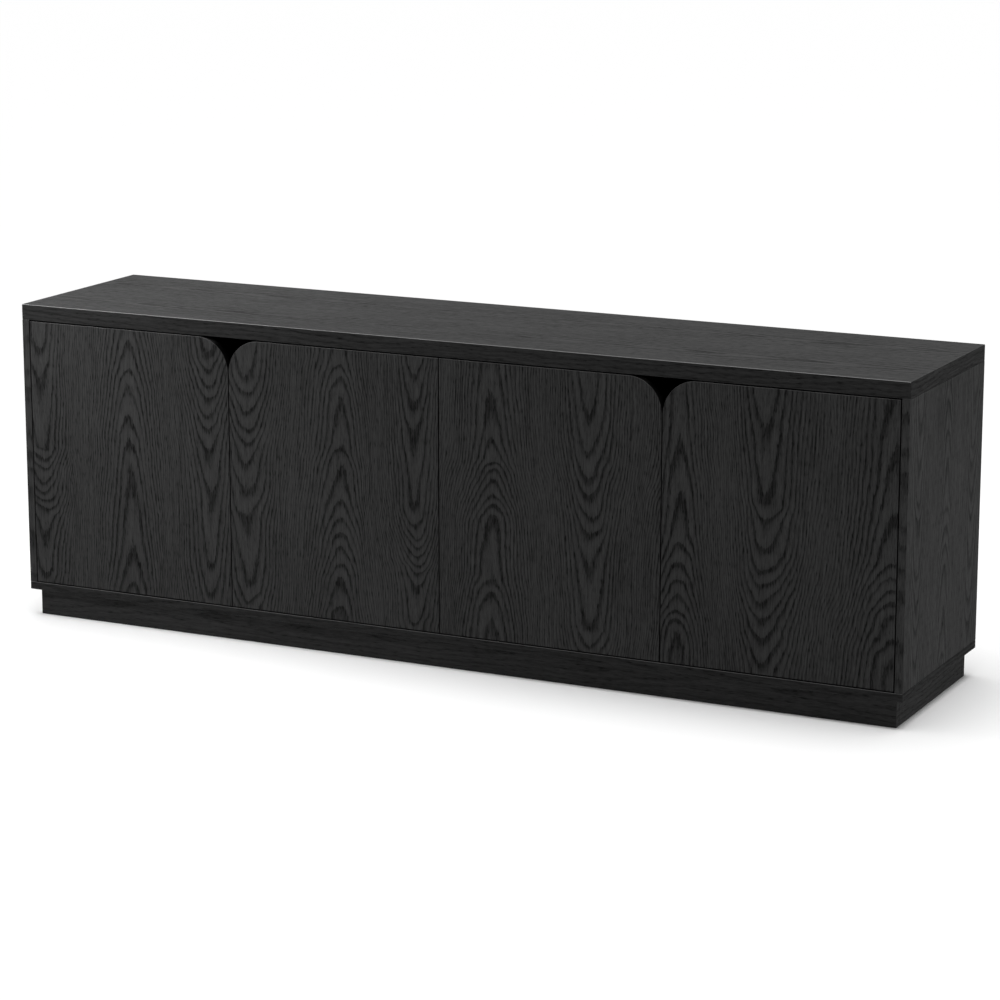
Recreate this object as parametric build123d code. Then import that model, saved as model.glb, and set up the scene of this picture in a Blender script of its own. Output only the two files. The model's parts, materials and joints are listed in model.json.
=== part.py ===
"""A low sideboard of veneered board: a carcass on a recessed plinth, with four inset doors on cup hinges.

Millimetres, +Z up, +X to the right seen from the front. The front faces -Y. The origin is on the floor,
at the centre of the footprint. Each door turns about the pin of its two hinges.
"""

from build123d import *
import os
from math import atan2, copysign, degrees, hypot

# ---- Carcass ---------------------------------------------------------------------------------------
WIDTH = 1800.0
DEPTH = 400.0
HEIGHT = 617.0
BOARD = 15.0  # sides, bottom, partition, shelves and plinth
TOP_THICKNESS = 30.0
PLINTH_HEIGHT = 52.0
PLINTH_INSET = 15.0
BACK_THICKNESS = 3.0
BACK_INSET = 8.0  # from the rear edges to the back board
BACK_GROOVE_DEPTH = 6.0
BACK_GROOVE_SIDE_PLAY = 0.05
BACK_EDGE_PLAY = 0.5
BACK_SEAM = 4.0  # between the two back boards, behind the partition
PARTITION_SETBACK = 36.0  # leaves room for the doors' hinged edges to swing
FIT = 0.02  # play around every pressed or screwed piece

# ---- Doors -----------------------------------------------------------------------------------------
DOOR_THICKNESS = 16.0
DOOR_SIDE_GAP = 2.0
DOOR_END_GAP = 2.5  # above and below
FINGER_PULL_RADIUS = 64.0  # the rounded top corner at each door's free edge
HINGE_FROM_DOOR_END = 100.0

# ---- Hinge, measured from the pin: +X towards the door's free edge, +Y into the cabinet ------------
PIN_FROM_DOOR_EDGE = 25.0
PIN_FROM_DOOR_FRONT = 6.5
PIN_RADIUS = 1.0
PIN_LENGTH = 20.0
PIN_END_BEVEL = 0.3
PIN_RUNNING_PLAY = 0.05
CUP_RADIUS = 17.5
CUP_CENTRE = -2.0
CUP_DEPTH = 12.4
CUP_FLOOR = 0.6
CUP_WALL = 0.8
FLANGE_THICKNESS = 1.2
FLANGE_RADIUS = 19.5
FLANGE_WING_LENGTH = 58.0
FLANGE_WING_WIDTH = 18.0
FLANGE_WING_OFFSET = 6.0
FLANGE_SCREW_SPACING = 48.0
LUG_WIDTH = 5.0
LUG_THICKNESS = 3.0
LUG_GAP = 12.6  # between the two lugs that hold the pin
LUG_TOP = 2.4
ARM_WIDTH = 12.0
ARM_THICKNESS = 2.4
ARM_EYE_RADIUS = 2.2
ARM_NECK = [(0.0, 0.0), (22.0, 22.0), (10.0, 33.0)]  # out of the cup, then round the open door's edge
ARM_SHOULDER_DEPTH = 37.0
ARM_LENGTH = 78.0
ARM_CHEEK_THICKNESS = 1.0
ARM_CHEEK_DEPTH = 5.0
ARM_SCREW_DEPTH = 60.0
PLATE_HEIGHT = 9.0  # from the panel's face to the arm
PLATE_START = 39.0
PLATE_LENGTH = 35.0
PLATE_WIDTH = 9.4
PLATE_WING_THICKNESS = 2.5
PLATE_WING_LENGTH = 50.0
PLATE_WING_WIDTH = 12.0
PLATE_SCREW_SPACING = 32.0
PLATE_SCREW_DEPTH = 46.5

# ---- Fittings: (head radius, head height, shank radius, shank length) -------------------------------
CUP_SCREW = (3.4, 1.4, 1.75, 11.5)
PLATE_SCREW = (3.5, 1.6, 2.5, 9.3)
ARM_SCREW = (3.5, 2.2, 2.0, 9.0)
BRACKET_SCREW = (3.4, 1.6, 1.75, 13.0)
STRIP_SCREW = (3.4, 1.5, 1.5, 22.0)
SCREW_SLOT_WIDTH = 0.9
SCREW_SLOT_SHARE = 0.6  # of the head's diameter
SCREW_HEAD_BEVEL = 0.45  # of the head's height
SCREW_POINT_BEVEL = 0.5  # of the shank's radius
SCREW_END_PLAY = 0.08
CAM_RADIUS = 7.5
CAM_DEPTH = 12.5
CAM_FROM_EDGE = 34.0
CAM_Y = 140.0
CAM_CROSS_DEPTH = 1.0
CAM_BOLT_RADIUS = 3.0
CAM_BOLT_CHANNEL_RADIUS = 3.6
CAM_BOLT_THREAD_RADIUS = 2.5
CAM_BOLT_THREAD = 11.0
CAM_BOLT_NECK_RADIUS = 2.1
CAM_BOLT_NECK = 3.0  # the groove that the cam grips, and the head past it
CAM_BOLT_HEAD = 4.0
DOWEL_RADIUS = 4.0
DOWEL_IN_FACE = 10.0
DOWEL_IN_EDGE = 20.0
DOWEL_Y = 90.0
DOWEL_END_BEVEL = 1.0

# ---- Shelves ---------------------------------------------------------------------------------------
SHELF_UNDERSIDE = 312.0
SHELF_FRONT_SETBACK = 45.0
SHELF_BACK_PLAY = 4.0
SHELF_END_PLAY = 1.0
PEG_RADIUS = 2.5
PEG_IN_PANEL = 7.0
PEG_REACH = 9.0
PEG_NOSE_RADIUS = 3.6
PEG_COLLAR_RADIUS = 5.0
PEG_COLLAR_THICKNESS = 1.2
PEG_Y = (-130.0, 150.0)
PEG_ROW_STEP = 32.0
PEG_ROWS_EACH_WAY = 2

# ---- Plinth fittings, back strip and door stops -----------------------------------------------------
CORNER_BLOCK = 25.0
CORNER_BLOCK_HEIGHT = 45.0
BRACKET_LEG = 25.0
BRACKET_WIDTH = 20.0
BRACKET_THICKNESS = 2.0
BRACKET_SCREW_AT = 15.0  # along each leg
BRACKET_X = (-600.0, -200.0, 200.0, 600.0)
STRIP_WIDTH = 30.0
STRIP_THICKNESS = 2.0
STRIP_END_PLAY = 5.0
STRIP_SCREWS = 4
STOP_WIDTH = 14.0
STOP_LENGTH = 12.0
STOP_HEIGHT = 9.0
STOP_PEG_RADIUS = 2.5
STOP_PEG_LENGTH = 9.0
STOP_FROM_FREE_EDGE = 40.0
STOP_CLEARANCE = 0.3
STOP_CORNER_RADIUS = 2.0
STOP_TOP_BEVEL = 1.0

# ---- Worked out from the above ----------------------------------------------------------------------
HALF_WIDTH = WIDTH / 2
FRONT = -DEPTH / 2
REAR = DEPTH / 2
SIDE_FACE = HALF_WIDTH - BOARD  # inner face of each side panel
PARTITION_FACE = BOARD / 2
BOTTOM_TOP = PLINTH_HEIGHT + BOARD
TOP_UNDERSIDE = HEIGHT - TOP_THICKNESS
BACK_FRONT = REAR - BACK_INSET - BACK_THICKNESS
PARTITION_FRONT = FRONT + PARTITION_SETBACK
PLINTH_X = HALF_WIDTH - PLINTH_INSET
PLINTH_Y = DEPTH / 2 - PLINTH_INSET

DOOR_WIDTH = (2 * SIDE_FACE - 5 * DOOR_SIDE_GAP) / 4
DOOR_BOTTOM = BOTTOM_TOP + DOOR_END_GAP
DOOR_TOP = TOP_UNDERSIDE - DOOR_END_GAP
HINGE_HEIGHTS = (DOOR_BOTTOM + HINGE_FROM_DOOR_END, DOOR_TOP - HINGE_FROM_DOOR_END)
DOOR_BACK = DOOR_THICKNESS - PIN_FROM_DOOR_FRONT  # behind the pin
PIN_Y = FRONT + PIN_FROM_DOOR_FRONT
OUTER_EDGE = SIDE_FACE - DOOR_SIDE_GAP
INNER_EDGE = DOOR_SIDE_GAP / 2

# Door name: (hinged edge in X, side that the free edge lies on, inner face of the panel it hangs from)
DOORS = {
    "left_outer": (-OUTER_EDGE, 1, -SIDE_FACE),
    "left_inner": (-INNER_EDGE, -1, -PARTITION_FACE),
    "right_inner": (INNER_EDGE, 1, PARTITION_FACE),
    "right_outer": (OUTER_EDGE, -1, SIDE_FACE),
}
UPRIGHTS = {"left": -(HALF_WIDTH - BOARD / 2), "centre": 0.0, "right": HALF_WIDTH - BOARD / 2}

X_AXIS, Y_AXIS, Z_AXIS = (1, 0, 0), (0, 1, 0), (0, 0, 1)


# ---- Building blocks --------------------------------------------------------------------------------
def block(x, y, z):
    """A box between two X, two Y and two Z values."""
    (x0, x1), (y0, y1), (z0, z1) = sorted(x), sorted(y), sorted(z)
    centre = Pos((x0 + x1) / 2, (y0 + y1) / 2, (z0 + z1) / 2)
    return centre * Box(x1 - x0, y1 - y0, z1 - z0)


def rod(start, direction, radius, length):
    """A cylinder from its start point along a direction."""
    low_end = (Align.CENTER, Align.CENTER, Align.MIN)
    return Plane(origin=start, z_dir=direction) * Cylinder(radius, length, align=low_end)


def screw(seat, direction, size):
    """A round-headed screw whose head sits on the seat point and whose shank runs along the direction."""
    head_radius, head_height, shank_radius, length = size
    head = Cylinder(head_radius, head_height, align=(Align.CENTER, Align.CENTER, Align.MAX))
    head = chamfer(head.edges().group_by(Axis.Z)[0], head_height * SCREW_HEAD_BEVEL)
    slot_length = 2 * head_radius * SCREW_SLOT_SHARE
    slot = Pos(0, 0, -head_height) * Box(slot_length, SCREW_SLOT_WIDTH, head_height)
    shank = Cylinder(shank_radius - FIT, length, align=(Align.CENTER, Align.CENTER, Align.MIN))
    shank = chamfer(shank.edges().group_by(Axis.Z)[-1], shank_radius * SCREW_POINT_BEVEL)
    return Plane(origin=seat, z_dir=direction) * (head - slot - Rot(0, 0, 90) * slot + shank)


def screw_hole(seat, direction, size):
    """The pilot or clearance hole for a screw, as deep as its shank."""
    _, _, shank_radius, length = size
    return rod(seat, direction, shank_radius, length + SCREW_END_PLAY)


def save(node, *solids):
    """Writes one node: a single piece, or a group of separate identical pieces."""
    flat = [solid for shape in solids for solid in shape.solids()]
    shape = flat[0] if len(flat) == 1 else Compound(children=flat)
    shape.label = node
    export_step(shape, f"parts/{node}.step")


# ---- Carcass joinery: cams, bolts and dowels between uprights and the top and bottom ----------------
def joint_lines():
    """Where each upright meets the top or the bottom: (upright X, edge height, direction out of it)."""
    for x in UPRIGHTS.values():
        yield x, TOP_UNDERSIDE, 1
        yield x, BOTTOM_TOP, -1


def cam_side(x):
    """The side of an upright that its cams are let into."""
    return -copysign(1, x) if x else 1


def cams(play=0.0):
    """The round cam housings, or the bores for them when given some play."""
    shapes = []
    for x, edge, out in joint_lines():
        side = cam_side(x)
        for y in (-CAM_Y, CAM_Y):
            centre = (x + side * BOARD / 2, y, edge - out * CAM_FROM_EDGE)
            cam = rod(centre, (-side, 0, 0), CAM_RADIUS - FIT + play, CAM_DEPTH - FIT + play)
            if not play:
                channel_start = (x, y, centre[2] - out * CAM_BOLT_RADIUS)
                cam -= rod(channel_start, (0, 0, out), CAM_BOLT_CHANNEL_RADIUS, CAM_FROM_EDGE)
                cross = Box(2 * SCREW_SLOT_WIDTH, CAM_RADIUS, 2 * CAM_CROSS_DEPTH)
                cam -= Pos(*centre) * cross
                cam -= Pos(*centre) * Rot(90, 0, 0) * cross
            shapes.append(cam)
    return shapes


def cam_bolts():
    """Steel bolts that stand in the top or bottom and reach into each cam."""
    shapes = []
    for x, edge, out in joint_lines():
        for y in (-CAM_Y, CAM_Y):
            shank = rod((x, y, edge), (0, 0, -out), CAM_BOLT_RADIUS, CAM_FROM_EDGE)
            thread = rod((x, y, edge), (0, 0, out), CAM_BOLT_THREAD_RADIUS - FIT, CAM_BOLT_THREAD)
            head_end = edge - out * (CAM_FROM_EDGE - CAM_BOLT_HEAD)
            groove = rod((x, y, head_end), (0, 0, out), 2 * CAM_BOLT_RADIUS, CAM_BOLT_NECK)
            groove -= rod((x, y, edge), (0, 0, -out), CAM_BOLT_NECK_RADIUS, CAM_FROM_EDGE)
            shapes.append(shank + thread - groove)
    return shapes


def dowels(play=0.0):
    """Beech dowels, or the holes for them when given some play."""
    radius = DOWEL_RADIUS - FIT + play
    shapes = []
    for x, edge, out in joint_lines():
        for y in (-DOWEL_Y, DOWEL_Y):
            foot = (x, y, edge - out * (DOWEL_IN_EDGE + play))
            dowel = rod(foot, (0, 0, out), radius, DOWEL_IN_EDGE + DOWEL_IN_FACE + 2 * play)
            if not play:
                dowel = chamfer(dowel.edges().filter_by(GeomType.CIRCLE), DOWEL_END_BEVEL)
            shapes.append(dowel)
    return shapes


def joinery_holes():
    """Every bore in the boards for cams, bolts and dowels."""
    holes = cams(play=FIT) + dowels(play=2 * FIT)
    for x, edge, out in joint_lines():
        for y in (-CAM_Y, CAM_Y):
            channel = CAM_FROM_EDGE + CAM_BOLT_RADIUS
            holes.append(rod((x, y, edge), (0, 0, -out), CAM_BOLT_CHANNEL_RADIUS, channel))
            holes.append(rod((x, y, edge), (0, 0, out), CAM_BOLT_THREAD_RADIUS, CAM_BOLT_THREAD + FIT))
    return holes


# ---- Hinges -----------------------------------------------------------------------------------------
def face_from_pin(door):
    """Where the panel that carries a door's hinges has its face, measured from the pin."""
    edge, side, panel_face = DOORS[door]
    return side * (panel_face - edge) - PIN_FROM_DOOR_EDGE


def at_hinges(door, shape):
    """A hinge piece, made around the pin of a left-hung door, placed at both hinges of a door."""
    edge, side, _ = DOORS[door]
    if side < 0:
        shape = mirror(shape, about=Plane.YZ)
    pin_x = edge + side * PIN_FROM_DOOR_EDGE
    return [Pos(pin_x, PIN_Y, z) * shape for z in HINGE_HEIGHTS]


def wing_screws():
    """Seats of the two screws that hold a cup's wings."""
    x, y = CUP_CENTRE + FLANGE_WING_OFFSET, DOOR_BACK + FLANGE_THICKNESS
    return [(x, y, z) for z in (-FLANGE_SCREW_SPACING / 2, FLANGE_SCREW_SPACING / 2)]


def hinge_cup():
    """The pressed cup with its winged flange and the two lugs that hold the pin."""
    floor = DOOR_BACK - CUP_DEPTH
    rim = DOOR_BACK + FLANGE_THICKNESS
    wing_centre = (CUP_CENTRE + FLANGE_WING_OFFSET, DOOR_BACK, 0)
    wing_plane = Plane(origin=wing_centre, x_dir=Z_AXIS, z_dir=Y_AXIS)
    cup = extrude(wing_plane * SlotOverall(FLANGE_WING_LENGTH, FLANGE_WING_WIDTH), FLANGE_THICKNESS)
    cup += rod((CUP_CENTRE, DOOR_BACK, 0), Y_AXIS, FLANGE_RADIUS, FLANGE_THICKNESS)
    cup += rod((CUP_CENTRE, floor, 0), Y_AXIS, CUP_RADIUS, CUP_DEPTH)
    cup -= rod((CUP_CENTRE, floor + CUP_FLOOR, 0), Y_AXIS, CUP_RADIUS - CUP_WALL, rim - floor)
    for z in (LUG_GAP / 2, -LUG_GAP / 2 - LUG_THICKNESS):
        cup += block((-LUG_WIDTH / 2, LUG_WIDTH / 2), (floor, LUG_TOP), (z, z + LUG_THICKNESS))
    cup -= rod((0, 0, -PIN_LENGTH / 2), Z_AXIS, PIN_RADIUS + FIT, PIN_LENGTH)
    for seat in wing_screws():
        cup -= screw_hole(seat, (0, -1, 0), CUP_SCREW)
    return cup


def hinge_pin():
    """The pin that the arm's eye turns on."""
    pin = rod((0, 0, -PIN_LENGTH / 2), Z_AXIS, PIN_RADIUS, PIN_LENGTH)
    return chamfer(pin.edges().filter_by(GeomType.CIRCLE), PIN_END_BEVEL)


def arm_screw_seat(face):
    """The point on the arm that its fixing screw's head sits on."""
    return (face + PLATE_HEIGHT + ARM_THICKNESS, ARM_SCREW_DEPTH, 0)


def hinge_arm(face):
    """A gooseneck arm from the pin out of the cup, round the door's edge, to a channel over the plate."""
    run = face + PLATE_HEIGHT + ARM_THICKNESS / 2
    points = ARM_NECK + [(run, ARM_SHOULDER_DEPTH), (run, ARM_LENGTH)]
    profile = Circle(ARM_EYE_RADIUS)
    for (x0, y0), (x1, y1) in zip(points, points[1:]):
        slope = degrees(atan2(y1 - y0, x1 - x0))
        stretch = SlotCenterToCenter(hypot(x1 - x0, y1 - y0), ARM_THICKNESS, rotation=slope)
        profile += Pos((x0 + x1) / 2, (y0 + y1) / 2) * stretch
    arm = extrude(profile, ARM_WIDTH / 2, both=True)
    for z in (ARM_WIDTH / 2 - ARM_CHEEK_THICKNESS, -ARM_WIDTH / 2):
        arm += block((run - ARM_CHEEK_DEPTH, run), (PLATE_START, ARM_LENGTH), (z, z + ARM_CHEEK_THICKNESS))
    arm -= rod((0, 0, -ARM_WIDTH), Z_AXIS, PIN_RADIUS + PIN_RUNNING_PLAY, 2 * ARM_WIDTH)
    return arm - screw_hole(arm_screw_seat(face), (-1, 0, 0), ARM_SCREW)


def plate_screw_seats(face):
    """Seats of the two screws that hold a mounting plate."""
    x = face + PLATE_WING_THICKNESS
    return [(x, PLATE_SCREW_DEPTH, z) for z in (-PLATE_SCREW_SPACING / 2, PLATE_SCREW_SPACING / 2)]


def mounting_plate(face):
    """The cross-shaped plate on the panel, with the raised rail that the arm is screwed to."""
    rail_y = (PLATE_START, PLATE_START + PLATE_LENGTH)
    plate = block((face, face + PLATE_HEIGHT), rail_y, (-PLATE_WIDTH / 2, PLATE_WIDTH / 2))
    wing_centre = (face, PLATE_SCREW_DEPTH, 0)
    wing_plane = Plane(origin=wing_centre, x_dir=Z_AXIS, z_dir=X_AXIS)
    plate += extrude(wing_plane * SlotOverall(PLATE_WING_LENGTH, PLATE_WING_WIDTH), PLATE_WING_THICKNESS)
    for seat in plate_screw_seats(face):
        plate -= screw_hole(seat, (-1, 0, 0), PLATE_SCREW)
    return plate - screw_hole(arm_screw_seat(face), (-1, 0, 0), ARM_SCREW)


def plate_screws(door, make):
    """The screws, or the holes for them, that fix a door's two mounting plates to their panel."""
    seats = plate_screw_seats(face_from_pin(door))
    return [placed for seat in seats for placed in at_hinges(door, make(seat, (-1, 0, 0), PLATE_SCREW))]


# ---- Doors ------------------------------------------------------------------------------------------
def door_panel(door):
    """A door with its rounded finger-pull corner and the bores for its two cups."""
    edge, side, _ = DOORS[door]
    free_edge = edge + side * DOOR_WIDTH
    panel = block((edge, free_edge), (FRONT, FRONT + DOOR_THICKNESS), (DOOR_BOTTOM, DOOR_TOP))
    corner = panel.edges().filter_by(Axis.Y).group_by(Axis.Z)[-1].sort_by(Axis.X)[-1 if side > 0 else 0]
    panel = fillet(corner, FINGER_PULL_RADIUS)
    bore = rod((CUP_CENTRE, DOOR_BACK, 0), (0, -1, 0), CUP_RADIUS + FIT, CUP_DEPTH + FIT)
    panel -= at_hinges(door, bore)
    for seat in wing_screws():
        panel -= at_hinges(door, screw_hole(seat, (0, -1, 0), CUP_SCREW))
    return panel


def door_set(door):
    """A door with everything that hangs it, the fixed arms and plates included."""
    face = face_from_pin(door)
    save(f"{door}_door", door_panel(door))
    save(f"{door}_hinge_cups", *at_hinges(door, hinge_cup()))
    save(f"{door}_hinge_pins", *at_hinges(door, hinge_pin()))
    screws = [at_hinges(door, screw(seat, (0, -1, 0), CUP_SCREW)) for seat in wing_screws()]
    save(f"{door}_cup_screws", *screws[0], *screws[1])
    save(f"{door}_hinge_arms", *at_hinges(door, hinge_arm(face)))
    save(f"{door}_mounting_plates", *at_hinges(door, mounting_plate(face)))


def door_stops(play=0.0):
    """Small stops on the bottom behind each door's free edge, each with a peg let into the bottom."""
    shapes = []
    for edge, side, _ in DOORS.values():
        x = edge + side * (DOOR_WIDTH - STOP_FROM_FREE_EDGE)
        y = FRONT + DOOR_THICKNESS + STOP_CLEARANCE
        radius, length = STOP_PEG_RADIUS - FIT + play, STOP_PEG_LENGTH + play
        peg = rod((x, y + STOP_LENGTH / 2, BOTTOM_TOP), (0, 0, -1), radius, length)
        if play:
            shapes.append(peg)
            continue
        width = (x - STOP_WIDTH / 2, x + STOP_WIDTH / 2)
        body = block(width, (y, y + STOP_LENGTH), (BOTTOM_TOP, BOTTOM_TOP + STOP_HEIGHT))
        body = fillet(body.edges().filter_by(Axis.Z), STOP_CORNER_RADIUS)
        shapes.append(chamfer(body.edges().group_by(Axis.Z)[-1], STOP_TOP_BEVEL) + peg)
    return shapes


# ---- Shelves ----------------------------------------------------------------------------------------
def panel_faces():
    """Every upright face that carries shelf pegs: (face X, direction into the bay)."""
    return [(-SIDE_FACE, 1), (-PARTITION_FACE, -1), (PARTITION_FACE, 1), (SIDE_FACE, -1)]


def peg_holes():
    """The rows of holes that let each shelf be set higher or lower."""
    rows = range(-PEG_ROWS_EACH_WAY, PEG_ROWS_EACH_WAY + 1)
    holes = []
    for face, inwards in panel_faces():
        for row in rows:
            z = SHELF_UNDERSIDE - PEG_RADIUS + row * PEG_ROW_STEP
            holes += [rod((face, y, z), (-inwards, 0, 0), PEG_RADIUS, PEG_IN_PANEL + FIT) for y in PEG_Y]
    return holes


def shelf_pegs():
    """A peg under each corner of each shelf, flat on top where the shelf rests."""
    shapes = []
    z = SHELF_UNDERSIDE - PEG_RADIUS
    for face, inwards in panel_faces():
        for y in PEG_Y:
            peg = rod((face, y, z), (inwards, 0, 0), PEG_NOSE_RADIUS, PEG_REACH)
            peg += rod((face, y, z), (inwards, 0, 0), PEG_COLLAR_RADIUS, PEG_COLLAR_THICKNESS)
            reach = (face, face + inwards * PEG_REACH)
            width = (y - PEG_COLLAR_RADIUS, y + PEG_COLLAR_RADIUS)
            peg -= block(reach, width, (SHELF_UNDERSIDE, SHELF_UNDERSIDE + PEG_COLLAR_RADIUS))
            shapes.append(peg + rod((face, y, z), (-inwards, 0, 0), PEG_RADIUS - FIT, PEG_IN_PANEL))
    return shapes


def shelf(side):
    """The loose shelf of one bay."""
    x = (side * (PARTITION_FACE + SHELF_END_PLAY), side * (SIDE_FACE - SHELF_END_PLAY))
    y = (FRONT + SHELF_FRONT_SETBACK, BACK_FRONT - SHELF_BACK_PLAY)
    return block(x, y, (SHELF_UNDERSIDE, SHELF_UNDERSIDE + BOARD))


# ---- Carcass boards ---------------------------------------------------------------------------------
def back_groove():
    """The groove for the back boards, all round the inside of the carcass."""
    reach = SIDE_FACE + BACK_GROOVE_DEPTH
    y = (BACK_FRONT - BACK_GROOVE_SIDE_PLAY, BACK_FRONT + BACK_THICKNESS + BACK_GROOVE_SIDE_PLAY)
    return block((-reach, reach), y, (BOTTOM_TOP - BACK_GROOVE_DEPTH, TOP_UNDERSIDE + BACK_GROOVE_DEPTH))


def back_board(side):
    """One of the two thin boards that close the back."""
    x = (side * BACK_SEAM / 2, side * (SIDE_FACE + BACK_GROOVE_DEPTH - BACK_EDGE_PLAY))
    low = BOTTOM_TOP - BACK_GROOVE_DEPTH + BACK_EDGE_PLAY
    high = TOP_UNDERSIDE + BACK_GROOVE_DEPTH - BACK_EDGE_PLAY
    return block(x, (BACK_FRONT, BACK_FRONT + BACK_THICKNESS), (low, high))


def strip_screws(make):
    """The screws, or the holes for them, through the back strip and the seam into the partition."""
    low, high = BOTTOM_TOP + 2 * BOARD, TOP_UNDERSIDE - 2 * BOARD
    step = (high - low) / (STRIP_SCREWS - 1)
    y = BACK_FRONT + BACK_THICKNESS + STRIP_THICKNESS
    return [make((0, y, low + i * step), (0, -1, 0), STRIP_SCREW) for i in range(STRIP_SCREWS)]


def back_strip():
    """The strip that covers the seam of the back boards and clamps them to the partition."""
    y = BACK_FRONT + BACK_THICKNESS
    z = (BOTTOM_TOP + STRIP_END_PLAY, TOP_UNDERSIDE - STRIP_END_PLAY)
    strip = block((-STRIP_WIDTH / 2, STRIP_WIDTH / 2), (y, y + STRIP_THICKNESS), z)
    return strip - strip_screws(screw_hole)


# ---- Plinth fittings --------------------------------------------------------------------------------
def bracket_places():
    """Each steel angle behind the plinth's front and back: (X, board's inner face, direction inwards)."""
    face = PLINTH_Y - BOARD
    return [(x, y, -copysign(1, y)) for y in (-face, face) for x in BRACKET_X]


def bracket_screws(make):
    """The screws, or the holes for them, that hold each angle to its plinth board and to the bottom."""
    shapes = []
    drop = PLINTH_HEIGHT - BRACKET_SCREW_AT
    for x, face, inwards in bracket_places():
        shapes.append(make((x, face + inwards * BRACKET_THICKNESS, drop), (0, -inwards, 0), BRACKET_SCREW))
        under = (x, face + inwards * BRACKET_SCREW_AT, PLINTH_HEIGHT - BRACKET_THICKNESS)
        shapes.append(make(under, Z_AXIS, BRACKET_SCREW))
    return shapes


def brackets():
    """The steel angles that tie the plinth to the bottom."""
    holes = bracket_screws(screw_hole)
    shapes = []
    for x, face, inwards in bracket_places():
        width = (x - BRACKET_WIDTH / 2, x + BRACKET_WIDTH / 2)
        upright = (PLINTH_HEIGHT - BRACKET_LEG, PLINTH_HEIGHT)
        angle = block(width, (face, face + inwards * BRACKET_THICKNESS), upright)
        level = (PLINTH_HEIGHT - BRACKET_THICKNESS, PLINTH_HEIGHT)
        angle += block(width, (face, face + inwards * BRACKET_LEG), level)
        shapes.append(angle - holes)
    return shapes


def corner_blocks():
    """The glue blocks in the plinth's four corners, under the bottom."""
    x, y = PLINTH_X - BOARD, PLINTH_Y - BOARD
    height = (PLINTH_HEIGHT - CORNER_BLOCK_HEIGHT, PLINTH_HEIGHT)
    return [
        block((sx * x, sx * (x - CORNER_BLOCK)), (sy * y, sy * (y - CORNER_BLOCK)), height)
        for sx in (-1, 1)
        for sy in (-1, 1)
    ]


# ---- The whole sideboard ----------------------------------------------------------------------------
def carcass():
    """The boards of the carcass, bored and grooved."""
    full_x, full_y = (-HALF_WIDTH, HALF_WIDTH), (FRONT, REAR)
    holes = joinery_holes() + peg_holes() + strip_screws(screw_hole) + bracket_screws(screw_hole)
    holes += door_stops(play=FIT) + [back_groove()]
    for door in DOORS:
        holes += plate_screws(door, screw_hole)
    inner_height = (BOTTOM_TOP, TOP_UNDERSIDE)
    partition_depth = (PARTITION_FRONT, BACK_FRONT)
    boards = {
        "top_panel": block(full_x, full_y, (TOP_UNDERSIDE, HEIGHT)),
        "bottom_panel": block(full_x, full_y, (PLINTH_HEIGHT, BOTTOM_TOP)),
        "left_side_panel": block((-HALF_WIDTH, -SIDE_FACE), full_y, inner_height),
        "right_side_panel": block((SIDE_FACE, HALF_WIDTH), full_y, inner_height),
        "centre_partition": block((-PARTITION_FACE, PARTITION_FACE), partition_depth, inner_height),
    }
    for node, board in boards.items():
        save(node, board - [hole for hole in holes if touches(board, hole)])


def touches(board, hole):
    """Whether a hole's box meets a board's box, so that boards are cut only by their own holes."""
    a, b = board.bounding_box(), hole.bounding_box()
    starts = zip(a.min, b.min)
    ends = zip(a.max, b.max)
    return all(max(start) < min(end) for start, end in zip(starts, ends))


def plinth():
    """The recessed plinth: four boards, a middle rail, glue blocks and steel angles."""
    height = (0, PLINTH_HEIGHT)
    inner_y = (-PLINTH_Y + BOARD, PLINTH_Y - BOARD)
    holes = bracket_screws(screw_hole)
    for node, sy in (("plinth_front", -1), ("plinth_back", 1)):
        board = block((-PLINTH_X, PLINTH_X), (sy * PLINTH_Y, sy * (PLINTH_Y - BOARD)), height)
        save(node, board - [hole for hole in holes if touches(board, hole)])
    for node, sx in (("plinth_left", -1), ("plinth_right", 1)):
        save(node, block((sx * PLINTH_X, sx * (PLINTH_X - BOARD)), inner_y, height))
    save("plinth_centre_rail", block((-BOARD / 2, BOARD / 2), inner_y, height))
    save("plinth_corner_blocks", *corner_blocks())
    save("plinth_brackets", *brackets())
    save("bracket_screws", *bracket_screws(screw))


def build():
    """Every node of the sideboard."""
    os.makedirs("parts", exist_ok=True)
    carcass()
    plinth()
    save("left_back_board", back_board(-1))
    save("right_back_board", back_board(1))
    save("back_strip", back_strip())
    save("back_strip_screws", *strip_screws(screw))
    save("left_shelf", shelf(-1))
    save("right_shelf", shelf(1))
    save("shelf_pegs", *shelf_pegs())
    save("cam_locks", *cams())
    save("cam_bolts", *cam_bolts())
    save("dowels", *dowels())
    save("door_stops", *door_stops())
    for door in DOORS:
        door_set(door)
    save("plate_screws", *[piece for door in DOORS for piece in plate_screws(door, screw)])
    arm_screws = [
        at_hinges(door, screw(arm_screw_seat(face_from_pin(door)), (-1, 0, 0), ARM_SCREW)) for door in DOORS
    ]
    save("arm_screws", *[piece for pair in arm_screws for piece in pair])


build()
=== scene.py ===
"""The looks of the black-stained sideboard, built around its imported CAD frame.

Metres, +Z up; the front faces -Y.
"""

import json
import math

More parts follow.
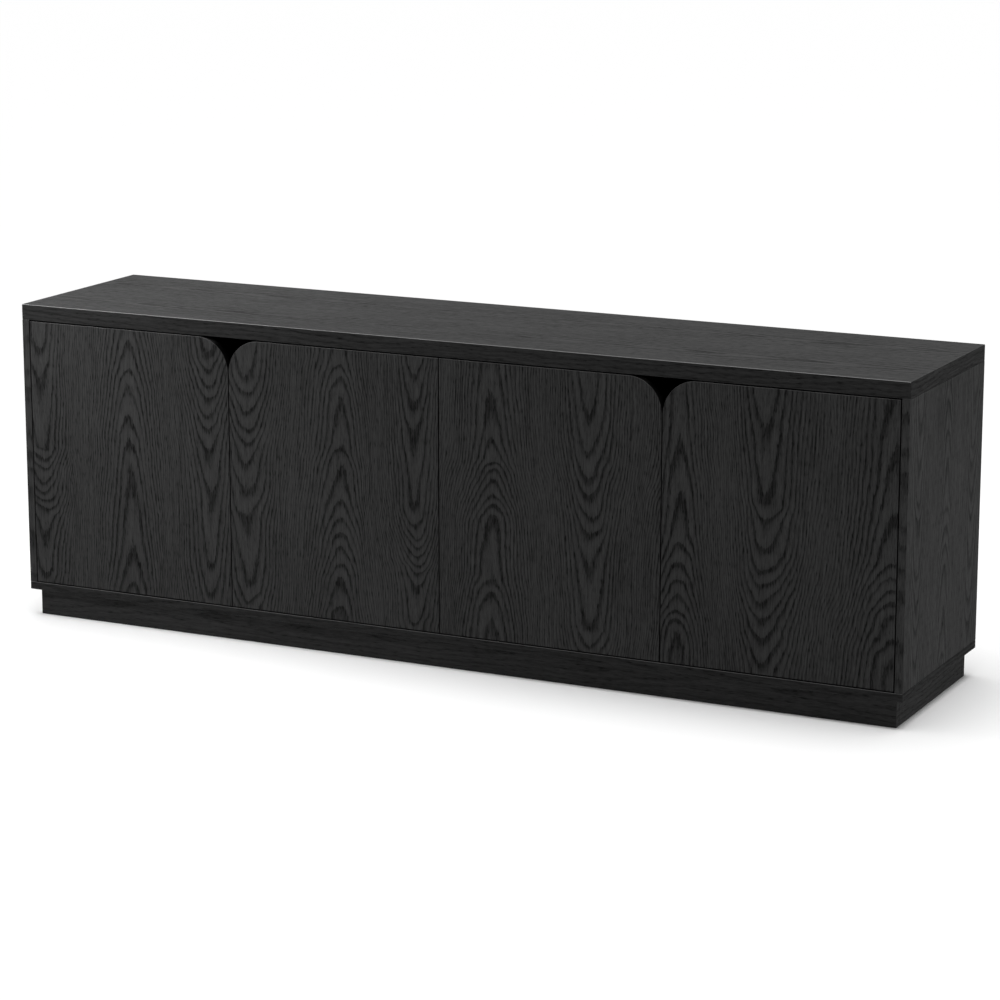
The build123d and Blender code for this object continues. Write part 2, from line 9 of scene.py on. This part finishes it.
import bpy
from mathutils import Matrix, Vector


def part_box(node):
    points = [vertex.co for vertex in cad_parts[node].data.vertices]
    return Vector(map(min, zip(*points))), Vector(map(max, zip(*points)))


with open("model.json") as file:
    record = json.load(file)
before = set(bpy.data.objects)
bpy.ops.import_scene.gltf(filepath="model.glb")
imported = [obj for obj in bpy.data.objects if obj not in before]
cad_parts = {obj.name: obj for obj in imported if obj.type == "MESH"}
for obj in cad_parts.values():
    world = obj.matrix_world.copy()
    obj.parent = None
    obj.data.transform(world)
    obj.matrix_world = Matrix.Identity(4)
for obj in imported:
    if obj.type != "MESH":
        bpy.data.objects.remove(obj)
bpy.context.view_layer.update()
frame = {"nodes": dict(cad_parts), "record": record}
scene = bpy.context.scene

MM = 0.001
X, Y, Z = 0, 1, 2
DOORS = ("left_outer", "left_inner", "right_inner", "right_outer")

# ---- Camera -----------------------------------------------------------------------------------------
CAMERA_PLACE = (2.728, -5.507, 1.692)
CAMERA_TURN = math.radians(26.13)  # to the left of straight ahead
CAMERA_DIP = math.radians(12.94)
CAMERA_LENS = 120.57  # in millimetres, like the sensor's width
SENSOR_WIDTH = 36
FARTHEST_SEEN = 100  # in metres

# ---- Light and floor --------------------------------------------------------------------------------
ROOM_LIGHT = 0.195  # what the pale room sends onto the piece
BACKDROP = 1.0  # how pale the room looks past the floor
CEILING_POWER = 2.8  # of the wide soft sun that stands for a lit ceiling
CEILING_SPREAD = math.radians(40)
# Each soft box has its place, the point that it looks at, its side, its power in watts, and the cone
# that its light stays in, in degrees.
SOFT_BOXES = {
    "upper_left": ((-1.8, -0.9, 2.2), (-0.8, -0.1, 0.5), 0.9, 6, 180),
    "front_left": ((-1.8, -1.5, 1.9), (-0.88, -0.2, 0.72), 0.5, 2.3, 40),
    "right": ((4.4, -0.2, 1.3), (0.9, 0, 0.3), 2.0, 20, 180),
}
FLOOR_SIDE = 60
FLOOR_TONE = 0.94

# ---- The flames of flat-cut veneer ------------------------------------------------------------------
# Across a board the face passes through ring after ring and back again, and a flame is where it turns
# round. A flame whose rings have lower numbers than its neighbours' points up, the others point down.
# Each one has its place in millimetres from the board's left (or front) edge, the number of its lowest
# ring, and the heights at which its rings cross its middle, from 0 at the board's foot to 1 at its head.
# All of them are set one by one.
FLAMES = {
    "left_outer": (
        (19, 26, (0.05, 0.19, 0.27, 0.31, 0.35, 0.39, 0.44, 0.48, 0.53, 0.80, 0.90)),
        (221, 0, (0.06, 0.21, 0.47, 0.61, 0.70, 0.78, 0.84, 0.93)),
        (397, 24, (0.07, 0.18, 0.43, 0.58, 0.66, 0.72, 0.78, 0.83, 0.90, 0.94)),
    ),
    "left_inner": (
        (37, 26, (0.03, 0.09, 0.36, 0.45, 0.53, 0.61, 0.68, 0.75, 0.83, 0.89)),
        (238, 0, (0.05, 0.16, 0.21, 0.27, 0.33, 0.39, 0.47, 0.58, 0.63, 0.84, 0.91, 0.95)),
        (392, 22, (0.03, 0.15, 0.22, 0.25, 0.29, 0.33, 0.37, 0.42, 0.47, 0.73, 0.84, 0.93)),
    ),
    "right_inner": (
        (107, 0, (0.09, 0.18, 0.23, 0.43, 0.48, 0.52, 0.57, 0.61, 0.64, 0.73, 0.88)),
        (302, 27, (0.03, 0.09, 0.33, 0.43, 0.50, 0.57, 0.63, 0.71, 0.85)),
    ),
    "right_outer": (
        (32, 2, (0.12, 0.18, 0.22, 0.27, 0.31, 0.37, 0.45, 0.62, 0.80)),
        (193, 25, (0.06, 0.13, 0.21, 0.27, 0.32, 0.37, 0.44, 0.53, 0.59, 0.87)),
        (436, 0, (0.13, 0.19, 0.25, 0.29, 0.34, 0.38, 0.44, 0.62, 0.85)),
    ),
    "side": (
        (55, 24, (0.08, 0.20, 0.27, 0.38, 0.56, 0.63, 0.78, 0.90)),
        (205, 0, (0.05, 0.22, 0.35, 0.42, 0.50, 0.57, 0.74, 0.83, 0.94)),
        (350, 22, (0.10, 0.17, 0.30, 0.47, 0.55, 0.66, 0.72, 0.88)),
    ),
}
END_RINGS = 0.6  # passed through between the board's foot or head and the nearest of those heights
ROUNDNESS = 1.7  # of the flames: 1 is a straight-sided arrowhead and 2 a round arch
PLAIN_RING = 9.0  # width of a growth ring where the figure is a plain one, in millimetres

# ---- The veneer's noises and amounts ----------------------------------------------------------------
# Each noise has its width across the grain and its length along it, in millimetres, a seed of its own,
# which is added to the board's, and its detail.
NOISES = {
    "wander": (90, 240, 0.0, 2),
    "drift": (26, 90, 7.3, 2),
    "rise": (70, 110, 2.2, 2),
    "jag": (2.2, 14, 3.1, 2),
    "patch": (34, 90, 11.7, 2),
    "streak": (4.6, 150, 5.9, 4),
    "fibre": (2.1, 28, 9.9, 3),
    "pore": (2.0, 15, 17.0, 1),
    "cloud": (200, 420, 23.0, 2),
}
WANDER, DRIFT, RISE = 14.0, 3.5, 34.0  # how far these three push the figure about, in millimetres
PACE = (1.7, 3.0, 29.0)  # noise from ring to ring: width in rings, length in flame middles, own seed
PACE_RINGS, JAG_RINGS = 0.35, 0.19  # how far the rings are put off by pace and by jag
# From one ring to the next, how dark the wood is: its pale early part, then its dark late part
LATE_PART = ((0.0, 0.15), (0.22, 0.0), (0.5, 0.25), (0.76, 1.0), (0.92, 0.9), (1.0, 0.15))
# A factor and a start turn one value into another
LATE_IN_FLAMES = (0.25, 1.0)  # how much narrower the late part is in the middle of a flame
STRENGTH_BY_RING = (0.40, 0.70)
STRENGTH_IN_FLAMES = (0.55, 0.60)
STRENGTH_BY_PATCH = (0.5, 1.1)
PORE_THRESHOLD, PORE_EDGE = 0.06, 3.0  # how rare the open pores are, and how crisp
PORES_IN_LATE = (0.6, 0.6)
# How dark the parts of the figure are, on a ground of a shade of its own
GROUND_SHADE, LATE_SHADE, STREAK_SHADE = 0.16, 0.56, 0.40
FIBRE_SHADE, PORE_SHADE, CLOUD_SHADE = 0.52, 0.46, 0.14
ROUGHNESS_BY_SHADE = (0.26, 0.40)
HIGHLIGHT_SHARE, HIGHLIGHT_POLISH = 0.85, -0.12  # how far the arrises take the tone of their painted highlight, and lose their roughness
SATIN_SPECULAR = 0.14
PORE_DEPTH, LATE_DEPTH, FIBRE_DEPTH = -0.7, -0.35, 0.25  # relief, as shares of the bump's distance

# ---- Painted shade in the door gaps: dull black on the doors' edges and on what they close onto -----
GAP_SHADE_TONE = 0.0015
GAP_SHADE_ROUGHNESS = 0.9
GAP_SHADE_MARGIN = 1.0 * MM  # from the opening's arrises, and from the plane of the doors' inner faces

MOSTLY = 0.7  # a normal belongs to the axis that it follows at least this far
ARRIS_GAIN = 5.0  # how soon a normal between two axes counts as a rounded edge
ARRIS_BY_X = (-2.0, 1.2)  # the more an edge faces left or right, the less painted highlight it gets
SHARP_EDGE = math.radians(50)
WELD_REACH = 0.01 * MM


class Maker:
    """Short names for making the nodes of one material."""

    def __init__(self, name):
        self.material = bpy.data.materials.new(name)
        self.material.use_nodes = True
        self.tree = self.material.node_tree
        self.shader = self.tree.nodes["Principled BSDF"]

    def node(self, kind, inputs=(), **settings):
        made = self.tree.nodes.new(kind)
        for key, value in settings.items():
            setattr(made, key, value)
        for key, value in dict(inputs).items():
            self.plug(made.inputs[key], value)
        return made

    def plug(self, socket, value):
        if isinstance(value, bpy.types.NodeSocket):
            self.tree.links.new(value, socket)
        else:
            socket.default_value = value

    def math(self, operation, *values, clamp=False):
        made = self.node("ShaderNodeMath", dict(enumerate(values)), operation=operation, use_clamp=clamp)
        return made.outputs[0]

    def mix(self, share, a, b):
        return self.node("ShaderNodeMix", {0: share, 2: a, 3: b}).outputs[0]

    def tint(self, share, a, b):
        return self.node("ShaderNodeMix", {0: share, 6: a, 7: b}, data_type="RGBA").outputs[2]

    def vector(self, x, y, z):
        return self.node("ShaderNodeCombineXYZ", {0: x, 1: y, 2: z}).outputs[0]

    def noise(self, vector, scale=1.0, detail=2.0):
        inputs = {"Vector": vector, "Scale": scale, "Detail": detail}
        return self.node("ShaderNodeTexNoise", inputs).outputs[0]

    def spread(self, u, v, width, length, seed, detail=2.0):
        """Noise about 0, from -1 to 1, stretched to a width across and a length along the grain."""
        across = self.math("DIVIDE", u, width)
        along = self.math("DIVIDE", v, length)
        value = self.noise(self.vector(across, along, seed), detail=detail)
        return self.math("MULTIPLY_ADD", value, 2.0, -1.0)

    def ramp(self, value, stops, interpolation="LINEAR"):
        made = self.node("ShaderNodeValToRGB", {0: value})
        ramp = made.color_ramp
        ramp.interpolation = interpolation
        while len(ramp.elements) < len(stops):
            ramp.elements.new(0.5)
        for element, (place, level) in zip(ramp.elements, stops):
            element.position = place
            element.color = grey(level)
        return made.outputs[0]

    def coordinate(self, name):
        """The object coordinates, in metres, or the normal, as three separate values."""
        made = self.node("ShaderNodeTexCoord").outputs[name]
        return self.node("ShaderNodeSeparateXYZ", {0: made}).outputs

    def millimetres(self):
        """The object coordinates, in millimetres."""
        return [self.math("MULTIPLY", axis, 1 / MM) for axis in self.coordinate("Object")]

    def look(self, **values):
        """Sets the shader's sockets, whose names are written with _ for a space."""
        for key, value in values.items():
            self.plug(self.shader.inputs[key.replace("_", " ")], value)

    def relief(self, height, strength, distance):
        """Bumps the surface, by a distance in millimetres."""
        inputs = {"Strength": strength, "Distance": distance * MM, "Height": height}
        self.look(Normal=self.node("ShaderNodeBump", inputs).outputs[0])


def grey(level):
    return (level, level, level, 1)


def board_coordinates(m, grain_axis, edge_axis, face_axis):
    """Across and along the grain, in millimetres, on every face of a board, and 1 on its two main faces.

    On the faces that the grain ends in, edge banding runs along edge_axis instead.
    """
    mm = m.millimetres()
    faces = [m.math("GREATER_THAN", m.math("ABSOLUTE", axis), MOSTLY) for axis in m.coordinate("Normal")]
    across_axes = [axis for axis in (X, Y, Z) if axis != grain_axis]
    first, second = across_axes
    # A face that looks along one of the two across axes has the other as its width.
    across = m.mix(faces[first], mm[first], mm[second])
    other = next(axis for axis in across_axes if axis != edge_axis)
    across = m.mix(faces[grain_axis], across, mm[other])
    along = m.mix(faces[grain_axis], mm[grain_axis], mm[edge_axis])
    return across, along, faces[face_axis]


def arris_highlight(m):
    """Up to 1 on the rounded upper edges that run along the piece, where a highlight is painted."""
    parts = m.coordinate("Normal")
    x, y, z = [m.math("ABSOLUTE", part) for part in parts]
    largest = m.math("MAXIMUM", m.math("MAXIMUM", x, y), z)
    rounded = m.math("MULTIPLY", m.math("SUBTRACT", 1.0, largest), ARRIS_GAIN, clamp=True)
    upper = m.math("MULTIPLY", rounded, m.math("GREATER_THAN", parts[Z], 0.0))
    return m.math("MULTIPLY", upper, m.math("MULTIPLY_ADD", x, *ARRIS_BY_X, clamp=True))


def gap_shade_box():
    """The space that holds the painted gap shade: behind the opening's arrises, and not quite as deep as the
    doors.
    """
    side_low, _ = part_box("right_side_panel")
    _, bottom_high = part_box("bottom_panel")
    top_low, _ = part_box("top_panel")
    _, door_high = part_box("right_outer_door")
    reach = side_low.x + GAP_SHADE_MARGIN
    low = (-reach, side_low.y + GAP_SHADE_MARGIN, bottom_high.z - GAP_SHADE_MARGIN)
    high = (reach, door_high.y - GAP_SHADE_MARGIN, top_low.z + GAP_SHADE_MARGIN)
    return low, high


def painted_gap_shade(m):
    """1 where shade is painted into the door gaps: on the doors' edges and the strip of the carcass that they
    close onto, and 0 elsewhere.
    """
    inside = 1.0
    for place, low, high in zip(m.coordinate("Object"), *gap_shade_box()):
        inside = m.math("MULTIPLY", inside, m.math("GREATER_THAN", place, low))
        inside = m.math("MULTIPLY", inside, m.math("LESS_THAN", place, high))
    return inside


def flame_figure(flames, left, foot, tall):
    """A figure of flames side by side. left and foot are where the board starts, in millimetres.

    A figure gives the number of the ring at each place, and how near the middle of a flame the place is.
    """
    # One more flame past each end, a mirror image of the last but one
    before = (2 * flames[0][0] - flames[1][0], *flames[1][1:])
    after = (2 * flames[-1][0] - flames[-2][0], *flames[-2][1:])
    row = (before, *flames, after)

    def up_the_middle(m, height, lowest, heights):
        count = len(heights) + 1
        stops = [(0.0, (1 - END_RINGS) / count)]
        stops += [(share, number / count) for number, share in enumerate(heights, 1)]
        stops.append((1.0, (count - 1 + END_RINGS) / count))
        return m.math("MULTIPLY_ADD", m.ramp(height, stops, "B_SPLINE"), count, lowest - 1)

    def figure(m, u, v):
        height = m.math("DIVIDE", m.math("SUBTRACT", v, foot), tall, clamp=True)
        numbers = [up_the_middle(m, height, lowest, heights) for _, lowest, heights in row]
        ring, passed = numbers[0], 0.0
        for flame, following, number, next_number in zip(row, row[1:], numbers, numbers[1:]):
            start, width = left + flame[0], following[0] - flame[0]
            share = m.math("DIVIDE", m.math("SUBTRACT", u, start), width, clamp=True)
            near = m.math("POWER", share, ROUNDNESS)
            far = m.math("POWER", m.math("SUBTRACT", 1.0, share), ROUNDNESS)
            share = m.math("DIVIDE", near, m.math("ADD", near, far))
            ring = m.math("MULTIPLY_ADD", share, m.math("SUBTRACT", next_number, number), ring)
            passed = m.math("ADD", passed, share)
        middle = m.math("MULTIPLY_ADD", m.math("PINGPONG", passed, 0.5), -2.0, 1.0)
        return ring, middle

    return figure


def waved_figure(period, slope, depth):
    """A figure of long narrow flames, for the boards whose grain is fine and low in contrast.

    period is from flame to flame and depth is how far their rings are bent, both in millimetres, and slope is
    how soon they bend along the grain.
    """

    def figure(m, u, v):
        share = m.math("FRACT", m.math("DIVIDE", u, period))
        aside = m.math("MULTIPLY", m.math("SUBTRACT", share, 0.5), period)
        under = m.math("PINGPONG", m.math("MULTIPLY", v, slope), depth)
        powers = [m.math("POWER", m.math("ABSOLUTE", part), ROUNDNESS) for part in (aside, under)]
        reach = m.math("POWER", m.math("ADD", *powers), 1 / ROUNDNESS)
        middle = m.math("DIVIDE", aside, period / 4)
        middle = m.math("EXPONENT", m.math("MULTIPLY", m.math("MULTIPLY", middle, middle), -1.0))
        return m.math("DIVIDE", reach, PLAIN_RING), middle

    return figure


def growth_rings(m, noise, across, along, seed, figure):
    """A figure's rings and flame middles, made uneven as a real trunk's are."""
    u = m.math("MULTIPLY_ADD", noise["wander"], WANDER, across)
    u = m.math("MULTIPLY_ADD", noise["drift"], DRIFT, u)
    v = m.math("MULTIPLY_ADD", noise["rise"], RISE, along)
    rings, middle = figure(m, u, v)
    width, length, own_seed = PACE
    pace = m.spread(rings, middle, width, length, seed + own_seed)
    rings = m.math("MULTIPLY_ADD", pace, PACE_RINGS, rings)
    return m.math("MULTIPLY_ADD", noise["jag"], JAG_RINGS, rings), middle


def latewood(m, noise, rings, middle):
    """Up to 1 on the dark late part of each ring and 0 on its early part, stronger in some than in others."""
    place = m.math("POWER", m.math("FRACT", rings), m.math("MULTIPLY_ADD", middle, *LATE_IN_FLAMES))
    late = m.ramp(place, LATE_PART)
    number = m.math("FLOOR", rings)
    chance = m.node("ShaderNodeTexWhiteNoise", {"W": number}, noise_dimensions="1D").outputs[0]
    strength = m.math("MULTIPLY_ADD", chance, *STRENGTH_BY_RING)
    strength = m.math("MULTIPLY", strength, m.math("MULTIPLY_ADD", middle, *STRENGTH_IN_FLAMES))
    strength = m.math("MULTIPLY", strength, m.math("MULTIPLY_ADD", noise["patch"], *STRENGTH_BY_PATCH))
    return m.math("MULTIPLY", late, strength, clamp=True)


def open_pores(m, noise, late):
    """Short dark dashes along the grain, more of them in the latewood."""
    pores = m.math("SUBTRACT", noise["pore"], PORE_THRESHOLD)
    pores = m.math("MULTIPLY", pores, PORE_EDGE, clamp=True)
    return m.math("MULTIPLY", pores, m.math("MULTIPLY_ADD", late, *PORES_IN_LATE))


def veneer(name, axes, seed, figure, light=0.040, dark=0.003, contrast=1.0, highlight_tone=0.07, edge_shade=1.0):
    """Black-stained open-grain veneer under satin lacquer.

    axes are those of the grain, of the grain in the end banding, and of the main faces' normal. light and
    dark are the tones of its palest and darkest wood, highlight_tone is that of the highlight painted on its
    upper arrises, and edge_shade is how light its edges are beside its main faces, as painted shade.
    """
    m = Maker(name)
    across, along, main_face = board_coordinates(m, *axes)
    noise = {
        kind: m.spread(across, along, width, length, seed + own_seed, detail)
        for kind, (width, length, own_seed, detail) in NOISES.items()
    }
    rings, middle = growth_rings(m, noise, across, along, seed, figure)
    late = latewood(m, noise, rings, middle)
    pores = open_pores(m, noise, late)

    shade = m.math("MULTIPLY_ADD", late, contrast * LATE_SHADE, GROUND_SHADE)
    shade = m.math("MULTIPLY_ADD", noise["streak"], STREAK_SHADE, shade)
    shade = m.math("MULTIPLY_ADD", noise["fibre"], FIBRE_SHADE, shade)
    shade = m.math("MULTIPLY_ADD", pores, PORE_SHADE, shade)
    shade = m.math("MULTIPLY_ADD", noise["cloud"], CLOUD_SHADE, shade, clamp=True)

    highlight = arris_highlight(m)
    # where shade is painted into the door gaps
    gap_shade = painted_gap_shade(m)
    face = m.tint(shade, grey(light), grey(dark))
    # painted shade: the edges are made darker than the main faces by a factor
    edge = m.tint(shade, grey(light * edge_shade), grey(dark * edge_shade))
    base = m.tint(main_face, edge, face)
    # painted shade: the doors' edges and the strip that they close onto are made dull black, so the gaps read
    # dark
    base = m.tint(gap_shade, base, grey(GAP_SHADE_TONE))
    # painted highlight on the rounded upper arrises
    base = m.tint(m.math("MULTIPLY", highlight, HIGHLIGHT_SHARE), base, grey(highlight_tone))
    rough = m.math("MULTIPLY_ADD", shade, *ROUGHNESS_BY_SHADE)
    rough = m.math("MULTIPLY_ADD", highlight, HIGHLIGHT_POLISH, rough)
    rough = m.mix(gap_shade, rough, GAP_SHADE_ROUGHNESS)
    m.look(Base_Color=base, Roughness=rough, Specular_IOR_Level=SATIN_SPECULAR)

    height = m.math("ADD", m.math("MULTIPLY", pores, PORE_DEPTH), m.math("MULTIPLY", late, LATE_DEPTH))
    height = m.math("MULTIPLY_ADD", noise["fibre"], FIBRE_DEPTH, height)
    m.relief(height, strength=0.6, distance=0.28)
    return m.material


def door_veneer(door, index):
    """A door's veneer, with its own flames."""
    low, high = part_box(f"{door}_door")
    figure = flame_figure(FLAMES[door], low.x / MM, low.z / MM, (high.z - low.z) / MM)
    # The doors' edges are made nearly black, painted shade where the gaps and finger pulls look dark.
    return veneer(
        f"veneer_{door}_door", (Z, X, Y), seed=10.0 * index, figure=figure, highlight_tone=0.22, edge_shade=0.06
    )


def side_veneer():
    """The veneer of the two side panels, whose flames stand from front to back."""
    low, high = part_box("right_side_panel")
    figure = flame_figure(FLAMES["side"], low.y / MM, low.z / MM, (high.z - low.z) / MM)
    return veneer(
        "veneer_side", (Z, Y, X), seed=80.0, figure=figure,
        light=0.050, dark=0.006, contrast=0.75, highlight_tone=0.08, edge_shade=0.75,
    )


def plain_metal(name, colour, roughness, brushed):
    """Plated steel or zinc, with fine brushing and small clouds of wear."""
    m = Maker(name)
    mm = m.millimetres()
    hair_length = 9.0 if brushed else 0.4
    hair = m.spread(mm[X], mm[Z], width=0.25, length=hair_length, seed=1.0, detail=3)
    cloud = m.noise(m.vector(*mm), scale=0.12, detail=3)
    level = m.math("MULTIPLY_ADD", cloud, 0.30, 0.82)
    level = m.math("MULTIPLY_ADD", hair, 0.06, level)
    levels = m.vector(level, level, level)
    base = m.node("ShaderNodeVectorMath", {0: colour, 1: levels}, operation="MULTIPLY").outputs[0]
    rough = m.math("MULTIPLY_ADD", cloud, 0.16, roughness - 0.06)
    rough = m.math("MULTIPLY_ADD", hair, 0.05, rough)
    m.look(Base_Color=base, Metallic=1.0, Roughness=rough)
    m.relief(hair, strength=0.3, distance=0.03)
    return m.material


def moulded_plastic(name, tone):
    """Black moulded plastic with a fine spark-eroded texture."""
    m = Maker(name)
    place = m.node("ShaderNodeTexCoord").outputs["Object"]
    fine = m.noise(place, scale=2500)
    broad = m.noise(place, scale=60)
    base = m.tint(broad, grey(tone * 0.8), grey(tone * 1.3))
    m.look(Base_Color=base, Roughness=m.math("MULTIPLY_ADD", fine, 0.2, 0.42))
    m.relief(fine, strength=0.4, distance=0.05)
    return m.material


def pale_wood(name):
    """Planed beech: short flecks on a warm ground."""
    m = Maker(name)
    mm = m.millimetres()
    across = m.math("ADD", mm[X], mm[Y])
    lines = m.spread(across, mm[Z], width=2.5, length=45, seed=2.0, detail=3)
    flecks = m.spread(across, mm[Z], width=0.7, length=3.0, seed=6.0, detail=1)
    share = m.math("MULTIPLY_ADD", lines, 0.5, 0.5)
    share = m.math("MULTIPLY_ADD", flecks, 0.25, share, clamp=True)
    base = m.tint(share, (0.62, 0.43, 0.26, 1), (0.40, 0.25, 0.13, 1))
    m.look(Base_Color=base, Roughness=m.math("MULTIPLY_ADD", share, 0.12, 0.52))
    m.relief(lines, strength=0.3, distance=0.1)
    return m.material


def hardboard(name):
    """Thin black-painted hardboard: a pressed fibre print, rolled paint and faint scuffs."""
    m = Maker(name)
    mm = m.millimetres()
    fibre = m.spread(mm[X], mm[Z], width=1.8, length=2.6, seed=1.0, detail=4)
    strands = m.spread(mm[X], mm[Z], width=14, length=2.2, seed=4.0, detail=3)
    rolled = m.spread(mm[X], mm[Z], width=60, length=420, seed=7.0)
    scuffs = m.spread(mm[X], mm[Z], width=130, length=36, seed=9.0, detail=4)
    scuffs = m.math("MULTIPLY", m.math("SUBTRACT", scuffs, 0.30), 2.2, clamp=True)
    share = m.math("MULTIPLY_ADD", strands, 0.22, 0.42)
    share = m.math("MULTIPLY_ADD", fibre, 0.30, share)
    share = m.math("MULTIPLY_ADD", rolled, 0.16, share)
    share = m.math("MULTIPLY_ADD", scuffs, 0.25, share, clamp=True)
    base = m.tint(share, grey(0.014), grey(0.052))
    rough = m.math("MULTIPLY_ADD", share, 0.30, 0.45)
    m.look(Base_Color=base, Roughness=rough, Specular_IOR_Level=0.3)
    m.relief(m.math("ADD", fibre, strands), strength=0.6, distance=0.12)
    return m.material


def dress(node, material):
    """Gives a CAD node its material."""
    mesh = frame["nodes"][node].data
    mesh.materials.clear()
    mesh.materials.append(material)


def soften(node, radius):
    """Rounds a board's sharp edges a little, as sanding and lacquer leave them."""
    piece = frame["nodes"][node]
    weld = piece.modifiers.new("weld", "WELD")
    weld.merge_threshold = WELD_REACH
    bevel = piece.modifiers.new("arris", "BEVEL")
    bevel.width = radius
    bevel.segments = 3
    bevel.limit_method = "ANGLE"
    bevel.angle_limit = SHARP_EDGE
    bevel.use_clamp_overlap = False
    bevel.loop_slide = False  # sliding folds the long thin triangles round the holes
    bevel.face_strength_mode = "FSTR_ALL"  # so that the flat faces stay flat up to their rounded edges
    normals = piece.modifiers.new("normals", "WEIGHTED_NORMAL")
    normals.use_face_influence = True
    normals.weight = 100


def dress_boards():
    """Every veneered board, with its arrises softened."""
    level, upright = (X, Y, Z), (Z, Y, X)  # axes of boards whose grain runs along the piece, or upwards
    # The top's light tone is raised above the other boards' as a painted sheen, and its front edge is
    # darkened as painted shade.
    top = veneer(
        "veneer_top", level, seed=60.0, figure=waved_figure(period=190, slope=0.05, depth=60),
        light=0.061, contrast=0.66, highlight_tone=0.32, edge_shade=0.42,
    )
    bottom = veneer(
        "veneer_bottom", level, seed=70.0, figure=waved_figure(period=90, slope=0.05, depth=40),
        light=0.046, contrast=0.6, highlight_tone=0.18, edge_shade=0.52,
    )
    side = side_veneer()
    # The plinth's tone is the darkest of the boards, painted shade for its place under the carcass.
    plinth = veneer(
        "veneer_plinth", level, seed=90.0, figure=waved_figure(period=80, slope=0.05, depth=30),
        light=0.032, dark=0.004, contrast=0.5,
    )
    # The shelf's and partition's tones are lighter than the doors', painted light that keeps the dim inside
    # readable.
    shelf = veneer(
        "veneer_shelf", level, seed=100.0, figure=waved_figure(period=140, slope=0.05, depth=50),
        light=0.055, dark=0.010, contrast=0.6,
    )
    partition = veneer(
        "veneer_partition", upright, seed=110.0, figure=waved_figure(period=140, slope=0.08, depth=50),
        light=0.055, dark=0.010, contrast=0.6,
    )
    # The material of each board, and the radius of its arrises in millimetres
    boards = {
        "top_panel": (top, 1.2),
        "bottom_panel": (bottom, 0.9),
        "left_side_panel": (side, 0.7),
        "right_side_panel": (side, 0.7),
        "plinth_front": (plinth, 0.8),
        "plinth_back": (plinth, 0.8),
        "plinth_left": (plinth, 0.8),
        "plinth_right": (plinth, 0.8),
        "left_shelf": (shelf, 0.6),
        "right_shelf": (shelf, 0.6),
        "centre_partition": (partition, 0.6),
        "plinth_centre_rail": (partition, 0.6),
    }
    for index, door in enumerate(DOORS):
        boards[f"{door}_door"] = (door_veneer(door, index), 0.5)
    for node, (material, radius) in boards.items():
        dress(node, material)
        soften(node, radius * MM)


def dress_fittings():
    """The thin back, and everything that is metal, plastic or plain wood."""
    back = hardboard("hardboard_black")
    for node in ("left_back_board", "right_back_board"):
        dress(node, back)
    finishes = {
        "nickel_plated_steel": plain_metal("satin_nickel", (0.62, 0.60, 0.57), 0.30, brushed=True),
        "zinc_plated_steel": plain_metal("zinc_plate", (0.56, 0.59, 0.62), 0.36, brushed=True),
        "zinc_alloy": plain_metal("cast_zinc", (0.42, 0.43, 0.44), 0.5, brushed=False),
        "black_plastic": moulded_plastic("black_plastic", 0.022),
        "beech": pale_wood("beech"),
    }
    for part in frame["record"]["subparts"]:
        if part["material_slot"] in finishes:
            dress(part["node"], finishes[part["material_slot"]])


def floor():
    """A plain pale floor that runs far past the view."""
    bpy.ops.mesh.primitive_plane_add(size=FLOOR_SIDE)
    ground = bpy.context.object
    ground.name = "floor"
    m = Maker("floor_paint")
    m.look(Base_Color=grey(FLOOR_TONE), Roughness=0.9, Specular_IOR_Level=0.1)
    ground.data.materials.append(m.material)
    ground.visible_glossy = False


def room():
    """A pale room: it lights the piece a little, and is paler where the camera sees it past the floor."""
    world = bpy.data.worlds.new("studio")
    world.use_nodes = True
    nodes, links = world.node_tree.nodes, world.node_tree.links
    background = nodes["Background"]
    background.inputs["Color"].default_value = grey(1.0)
    path = nodes.new("ShaderNodeLightPath")
    level = nodes.new("ShaderNodeMapRange")
    level.inputs["To Min"].default_value = ROOM_LIGHT
    level.inputs["To Max"].default_value = BACKDROP
    links.new(path.outputs["Is Camera Ray"], level.inputs["Value"])
    links.new(level.outputs["Result"], background.inputs["Strength"])
    scene.world = world


def soft_box(name, place, aim, side, power, cone):
    """A soft square light that looks at a point."""
    data = bpy.data.lights.new(name, "AREA")
    data.spread = math.radians(cone)
    data.size = side
    data.energy = power
    light = bpy.data.objects.new(name, data)
    light.location = place
    light.rotation_mode = "QUATERNION"
    light.rotation_quaternion = (Vector(place) - Vector(aim)).to_track_quat("Z", "Y")
    scene.collection.objects.link(light)


def studio():
    """The light: the room, a soft sun straight overhead and the soft boxes."""
    room()
    sun = bpy.data.lights.new("ceiling", "SUN")
    sun.energy = CEILING_POWER
    sun.angle = CEILING_SPREAD
    scene.collection.objects.link(bpy.data.objects.new("ceiling", sun))
    for name, settings in SOFT_BOXES.items():
        soft_box(name, *settings)
    scene.view_settings.view_transform = "Standard"


def camera():
    """A long lens from the front right, a little above the top."""
    data = bpy.data.cameras.new("camera")
    data.lens = CAMERA_LENS
    data.sensor_width = SENSOR_WIDTH
    data.clip_end = FARTHEST_SEEN
    view = bpy.data.objects.new("camera", data)
    view.location = CAMERA_PLACE
    view.rotation_euler = (math.pi / 2 - CAMERA_DIP, 0, CAMERA_TURN)
    scene.collection.objects.link(view)
    scene.camera = view


camera()
studio()
floor()
dress_boards()
dress_fittings()
